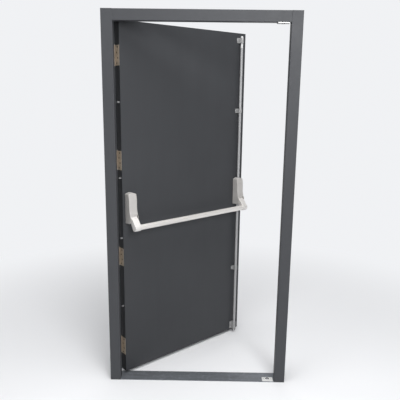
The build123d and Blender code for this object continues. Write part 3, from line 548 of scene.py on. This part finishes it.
class DOOR_OT_stage(bpy.types.Operator):
    """Set the floor, the soft lamps, the white surround and the camera"""

    bl_idname = "door.stage"
    bl_label = "Set the Stage"

    def execute(self, context):
        stage = context.scene.door_stage
        context.scene.view_settings.view_transform = "Standard"
        self.make_floor(stage)
        self.make_world(context.scene, stage)
        self.make_lamps(stage)
        self.make_camera(context.scene, stage)
        return {"FINISHED"}

    def make_floor(self, stage):
        bm = bmesh.new()
        bmesh.ops.create_grid(bm, x_segments=1, y_segments=1, size=FLOOR_HALF)
        floor = new_piece("floor", bm)
        paint = Finish("floor_white", tuple(stage.floor_colour), 0.7)
        paint.tint(paint.spread(paint.noise(0.8, 3.0), 0.0, 0.25), (0.83, 0.835, 0.85))
        paint.shader.inputs["Specular IOR Level"].default_value = 0.2
        rays = paint.add("ShaderNodeLightPath")
        seen = paint.add("ShaderNodeMath", operation="MAXIMUM")
        paint.link(rays.outputs["Is Camera Ray"], seen.inputs[0])
        paint.link(rays.outputs["Is Glossy Ray"], seen.inputs[1])
        distance = paint.add("ShaderNodeVectorMath", operation="LENGTH")
        paint.link(paint.place, distance.inputs[0])
        far = paint.add("ShaderNodeMapRange", interpolation_type="SMOOTHSTEP",
                        From_Min=FADE_START, From_Max=FADE_END)
        paint.link(distance.outputs["Value"], far.inputs["Value"])
        fade = paint.add("ShaderNodeMath", operation="MULTIPLY")
        paint.link(seen.outputs["Value"], fade.inputs[0])
        paint.link(far.outputs["Result"], fade.inputs[1])
        glow = paint.add("ShaderNodeEmission", Color=(*stage.surround_colour, 1))
        mix = paint.add("ShaderNodeMixShader")
        paint.link(fade.outputs["Value"], mix.inputs["Fac"])
        paint.link(paint.shader.outputs["BSDF"], mix.inputs[1])
        paint.link(glow.outputs["Emission"], mix.inputs[2])
        paint.link(mix.outputs["Shader"], paint.tree.nodes["Material Output"].inputs["Surface"])
        floor.data.materials.append(paint.material)

    def make_world(self, scene, stage):
        world = bpy.data.worlds.new("surround")
        scene.world = world
        world.use_nodes = True
        tree = world.node_tree
        back = tree.nodes["Background"]
        back.inputs["Color"].default_value = (*stage.surround_colour, 1)
        rays = tree.nodes.new("ShaderNodeLightPath")
        seen = tree.nodes.new("ShaderNodeMath")
        seen.operation = "MAXIMUM"
        tree.links.new(rays.outputs["Is Camera Ray"], seen.inputs[0])
        tree.links.new(rays.outputs["Is Transmission Ray"], seen.inputs[1])
        level = tree.nodes.new("ShaderNodeMapRange")
        level.inputs["To Min"].default_value = stage.sky_strength
        level.inputs["To Max"].default_value = 1.0
        tree.links.new(seen.outputs["Value"], level.inputs["Value"])
        tree.links.new(level.outputs["Result"], back.inputs["Strength"])

    def make_lamps(self, stage):
        for name, (place, target, size, share) in LAMPS.items():
            self.lamp(name, place, target, size, stage.key_power * share)

    def lamp(self, name, place, target, size, power):
        data = bpy.data.lights.new(name, "AREA")
        data.size = size
        data.energy = power
        lamp = bpy.data.objects.new(name, data)
        lamp.location = place
        lamp.rotation_euler = (Vector(target) - Vector(place)).to_track_quat("-Z", "Y").to_euler()
        bpy.context.scene.collection.objects.link(lamp)

    def make_camera(self, scene, stage):
        data = bpy.data.cameras.new("camera")
        data.lens = stage.lens
        data.sensor_width = 36
        camera = bpy.data.objects.new("camera", data)
        scene.collection.objects.link(camera)
        yaw, pitch, roll = CAMERA_YAW, CAMERA_PITCH, CAMERA_ROLL
        ahead = Vector((math.sin(yaw) * math.cos(pitch), math.cos(yaw) * math.cos(pitch),
                        -math.sin(pitch)))
        right = Vector((math.cos(yaw), -math.sin(yaw), 0))
        down = ahead.cross(right)
        level_right = right * math.cos(roll) + down * math.sin(roll)
        level_down = down * math.cos(roll) - right * math.sin(roll)
        turn = Matrix((level_right, -level_down, -ahead)).transposed().to_4x4()
        camera.matrix_world = Matrix.Translation(CAMERA_PLACE) @ turn
        scene.camera = camera


class DOOR_OT_frame(bpy.types.Operator):
    """Coat the jambs and the head"""

    bl_idname = "door.frame"
    bl_label = "Finish the Frame"

    def execute(self, context):
        paint = context.scene.door_paint
        dress(powder_coat("frame_coat", tuple(paint.frame_colour), paint),
              "jamb_hinge_side", "jamb_lock_side", "frame_head")
        return {"FINISHED"}


class DOOR_OT_threshold(bpy.types.Operator):
    """Brush and scuff the threshold"""

    bl_idname = "door.threshold"
    bl_label = "Finish the Threshold"

    def execute(self, context):
        colour = tuple(context.scene.door_metal.threshold_colour)
        plate = brushed("threshold_plate", colour, 0.45, (3.0, 900.0, 900.0), 0.5)
        dress(scuffed(plate, colour).material, "threshold")
        return {"FINISHED"}


class DOOR_OT_seals(bpy.types.Operator):
    """Finish the three seals"""

    bl_idname = "door.seals"
    bl_label = "Finish the Seals"

    def execute(self, context):
        dress(rubber("seal_strip", (0.016, 0.016, 0.018)),
              "seal_hinge_side", "seal_lock_side", "seal_head")
        return {"FINISHED"}


class DOOR_OT_leaf(bpy.types.Operator):
    """Coat the leaf, lap a dark sheet of its coat over the hinge gap as painted shade there, and finish its
    core
    """

    bl_idname = "door.leaf"
    bl_label = "Finish the Leaf"

    lap_reach: length_setting("Lap Reach", "How far the outer sheet laps past the leaf's edge", 0.0035)
    lap_width: length_setting("Lap Width", "Width of the lap on the outer face", 0.012)
    lap_thickness: length_setting("Lap Thickness", "Thickness of the lapped sheet", 0.0012)
    hinge_half: length_setting("Hinge Half", "Half of the space left free for a hinge", 0.0536)

    def execute(self, context):
        paint = context.scene.door_paint
        coat = powder_coat("leaf_coat", tuple(paint.leaf_colour), paint)
        dress(coat, "leaf_outer_skin", "leaf_inner_skin")
        dress(board("core_board", (0.42, 0.33, 0.22)), "leaf_core")
        self.make_gap_shade_sheet(coat)
        return {"FINISHED"}

    # The lapped sheet is painted shade: a dark sheet of leaf coat that closes the hinge gap so that it
    # reads as shade
    def make_gap_shade_sheet(self, coat):
        low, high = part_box("leaf_outer_skin")
        left, right = LEAF_LEFT - self.lap_reach, LEAF_LEFT + self.lap_width
        front, back = LEAF_OUTER_Y, LEAF_OUTER_Y + self.lap_thickness
        soft = self.lap_thickness / 3
        outline = ((left, front), (right, front), (right, back - soft), (right - soft, back),
                   (left + soft, back), (left, back - soft))
        ends = [low[2] + soft]
        for height in HINGE_HEIGHTS:
            ends += [height - self.hinge_half, height + self.hinge_half]
        ends.append(high[2] - soft)
        bm = bmesh.new()
        for start, end in zip(ends[::2], ends[1::2]):
            extrude_outline(bm, outline, start, end)
        lap = new_piece("hinge_gap_shade_sheet", bm)
        lap.data.materials.append(coat)
        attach(lap, "leaf")


class DOOR_OT_hinges(bpy.types.Operator):
    """Give the hinges their bronze finish and set their screws, with heads darkened as painted shade"""

    bl_idname = "door.hinges"
    bl_label = "Finish the Hinges"

    def execute(self, context):
        metal = context.scene.door_metal
        finish = bronze("hinge_bronze", tuple(metal.hinge_colour))
        for number in range(1, 5):
            dress(finish, f"hinge_{number}_frame_leaf", f"hinge_{number}_door_leaf", f"hinge_{number}_pin")
        # Screw heads: the hinge bronze at a fifth of its brightness, painted shade standing for the dark
        # screw holes
        dark = bronze("screw_bronze_painted_shade", scaled(metal.hinge_colour, 0.2))
        self.set_hinge_screws(context.scene.door_screws, dark)
        return {"FINISHED"}

    def set_hinge_screws(self, screws, finish):
        for side, face_x, out, turn, body in (
                ("frame", FRAME_PLATE_X, 1, Matrix.Identity(4), "frame"),
                ("door", DOOR_PLATE_X, -1, SWING, "leaf")):
            places = []
            for middle in HINGE_HEIGHTS:
                for row, rise in enumerate(HINGE_SCREW_ROWS):
                    y = HINGE_SCREW_Y + HINGE_SCREW_ZIGZAG * (-1) ** row
                    place = turn @ Vector((face_x, y, middle + rise))
                    places.append((place, turn.to_3x3() @ Vector((out, 0, 0))))
            name = f"hinge_screws_{side}"
            set_screws(name + "_heads", places, body, "hinge_bronze", name, finish, seed=3 + out,
                       head_radius=screws.hinge_head, recess_width=screws.recess_width,
                       recess_depth=screws.recess_depth, **HINGE_SCREW)


class DOOR_OT_dog_bolts(bpy.types.Operator):
    """Plate the four fixed bolts on the hinge edge"""

    bl_idname = "door.dog_bolts"
    bl_label = "Finish the Dog Bolts"

    def execute(self, context):
        dress(zinc_plating(context.scene.door_metal), "dog_bolts")
        return {"FINISHED"}


class DOOR_OT_cases(bpy.types.Operator):
    """Lacquer the two cases and plate what they hold"""

    bl_idname = "door.cases"
    bl_label = "Finish the Cases"

    def execute(self, context):
        metal = context.scene.door_metal
        dress(cast_lacquer("case_lacquer", tuple(metal.case_colour)),
              "end_case_cover", "lock_case_cover")
        dress(zinc_plating(metal), "end_case_base", "lock_case_base", "end_case_pivot_pin",
              "lock_case_pivot_pin", "case_screws", "rocker")
        return {"FINISHED"}


class DOOR_OT_push_bar(bpy.types.Operator):
    """Finish the push bar and its two arms"""

    bl_idname = "door.push_bar"
    bl_label = "Finish the Push Bar"

    def execute(self, context):
        metal = context.scene.door_metal
        # Arm lacquer: partly the silver lacquer, partly a painted highlight
        dress(cast_lacquer("arm_paint_and_highlight", tuple(metal.arm_paint_and_highlight_colour)),
              "arm_hinge_side", "arm_lock_side")
        dress(brushed("bar_satin", tuple(metal.bar_colour), 0.38, (60.0, 60.0, 900.0), 0.5).material,
              "push_bar_tube")
        return {"FINISHED"}


class DOOR_OT_rods(bpy.types.Operator):
    """Finish the rods, their bolts and their carriers"""

    bl_idname = "door.rods"
    bl_label = "Finish the Rods"

    def execute(self, context):
        metal = context.scene.door_metal
        dress(cast_lacquer("rod_lacquer", tuple(metal.rod_colour)), "top_rod", "bottom_rod")
        dress(cast_lacquer("bolt_coating", tuple(metal.bolt_colour), 0.0), "top_bolt")
        dress(zinc_plating(metal), "bottom_bolt", "top_rod_carrier", "bottom_rod_carrier")
        return {"FINISHED"}


class DOOR_OT_guides(bpy.types.Operator):
    """Finish the four guides and set their screws"""

    bl_idname = "door.guides"
    bl_label = "Finish the Guides"

    def execute(self, context):
        metal = context.scene.door_metal
        dress(cast_lacquer("guide_lacquer", tuple(metal.guide_colour)),
              "rod_guide_upper", "rod_guide_lower", "top_bolt_guide", "bottom_bolt_guide")
        self.set_guide_screws(context.scene.door_screws, zinc_plating(metal))
        return {"FINISHED"}

    def set_guide_screws(self, screws, zinc):
        heights = [middle_of(guide) for guide in ("rod_guide_upper", "rod_guide_lower", "top_bolt_guide")]
        low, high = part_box("bottom_bolt_guide")
        heights += [low[2] + (high[2] - low[2]) * share for share in GUIDE_SCREW_SHARES]
        face_y = LEAF_INNER_Y - GUIDE_FOOT
        facing = SWING.to_3x3() @ Vector((0, -1, 0))
        places = [(SWING @ Vector((LOCK_CASE_X + side * GUIDE_SCREW_X, face_y, z)), facing)
                  for side in (-1, 1) for z in heights]
        set_screws("guide_screw_heads", places, "leaf", "zinc_steel", "guide_screws", zinc, seed=11,
                   head_radius=screws.guide_head * GUIDE_HEAD_TAPER, foot_radius=screws.guide_head,
                   recess_width=screws.recess_width * 1.1, recess_depth=screws.recess_depth,
                   **GUIDE_SCREW)


class DOOR_OT_plates(bpy.types.Operator):
    """Plate the steel plates behind the jamb and inside the leaf"""

    bl_idname = "door.plates"
    bl_label = "Finish the Plates"

    def execute(self, context):
        dress(zinc_plating(context.scene.door_metal),
              "hinge_backing_plates", "hinge_reinforcements", "hardware_reinforcements")
        return {"FINISHED"}


class DOOR_OT_keeps(bpy.types.Operator):
    """Finish the two keep plates, set their screws and line the floor socket with a near-black ring of
    painted shade
    """

    bl_idname = "door.keeps"
    bl_label = "Finish the Keeps"

    sleeve_radius: length_setting("Sleeve Radius", "Radius of the sleeve under the floor keep", 0.0108)
    sleeve_wall: length_setting(
        "Sleeve Wall", "Thickness of the sleeve, that leaves the bolt its way", 0.0032)

    def execute(self, context):
        screws = context.scene.door_screws
        lines = (4.0, 700.0, 700.0)
        dress(brushed("top_keep_steel", (0.42, 0.42, 0.415), 0.36, lines).material, "top_keep")
        dress(brushed("floor_keep_steel", (0.80, 0.80, 0.79), 0.42, lines, 0.4).material, "floor_keep")
        self.make_shade_sleeve()
        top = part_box("top_keep")[0][2]
        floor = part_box("floor_keep")[1][2]
        places = [(Vector((LOCK_CASE_X + side * KEEP_SCREW_X, ROD_Y, z)), Vector((0, 0, up)))
                  for side in (-1, 1) for z, up in ((top, -1), (floor, 1))]
        set_screws("keep_screw_heads", places, "frame", "zinc_steel", "keep_screws",
                   zinc_plating(context.scene.door_metal), seed=5, head_radius=screws.keep_head,
                   recess_width=screws.recess_width * 0.8, recess_depth=screws.recess_depth * 0.6,
                   **KEEP_SCREW)
        return {"FINISHED"}

    def make_shade_sleeve(self):
        wide, thin = self.sleeve_radius, self.sleeve_radius - self.sleeve_wall
        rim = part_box("threshold")[1][2]
        bm = bmesh.new()
        turn_profile(bm, ((thin, 0), (wide, 0), (wide, rim), (thin, rim)), LOCK_CASE_X, ROD_Y)
        sleeve = new_piece("floor_socket_shade_sleeve", bm)
        # Near-black ring: painted shade standing for the dark inside of the floor hole
        sleeve.data.materials.append(rubber("socket_painted_shade", (0.010, 0.010, 0.011)))
        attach(sleeve, "frame")


class DOOR_PT_panel(bpy.types.Panel):
    """Lists each step in the sidebar."""

    bl_idname = "DOOR_PT_panel"
    bl_label = "Exit Door"
    bl_space_type = "VIEW_3D"
    bl_region_type = "UI"
    bl_category = "Exit Door"

    def draw(self, context):
        for step in STEPS:
            self.layout.operator(step.bl_idname)


STEPS = (DOOR_OT_stage, DOOR_OT_frame, DOOR_OT_threshold, DOOR_OT_seals, DOOR_OT_leaf, DOOR_OT_hinges,
         DOOR_OT_dog_bolts, DOOR_OT_cases, DOOR_OT_push_bar, DOOR_OT_rods, DOOR_OT_guides,
         DOOR_OT_plates, DOOR_OT_keeps)
GROUPS = {"door_paint": PaintSettings, "door_metal": MetalSettings,
          "door_screws": ScrewSettings, "door_stage": StageSettings}


def register():
    for name, group in GROUPS.items():
        bpy.utils.register_class(group)
        setattr(bpy.types.Scene, name, bpy.props.PointerProperty(type=group))
    for step in STEPS:
        bpy.utils.register_class(step)
    bpy.utils.register_class(DOOR_PT_panel)


def unregister():
    bpy.utils.unregister_class(DOOR_PT_panel)
    for step in reversed(STEPS):
        bpy.utils.unregister_class(step)
    for name, group in GROUPS.items():
        delattr(bpy.types.Scene, name)
        bpy.utils.unregister_class(group)


def main():
    register()
    bpy.ops.door.stage()
    bpy.ops.door.frame()
    bpy.ops.door.threshold()
    bpy.ops.door.seals()
    bpy.ops.door.leaf()
    bpy.ops.door.hinges()
    bpy.ops.door.dog_bolts()
    bpy.ops.door.cases()
    bpy.ops.door.push_bar()
    bpy.ops.door.rods()
    bpy.ops.door.guides()
    bpy.ops.door.plates()
    bpy.ops.door.keeps()


if __name__ == "__main__":
    main()
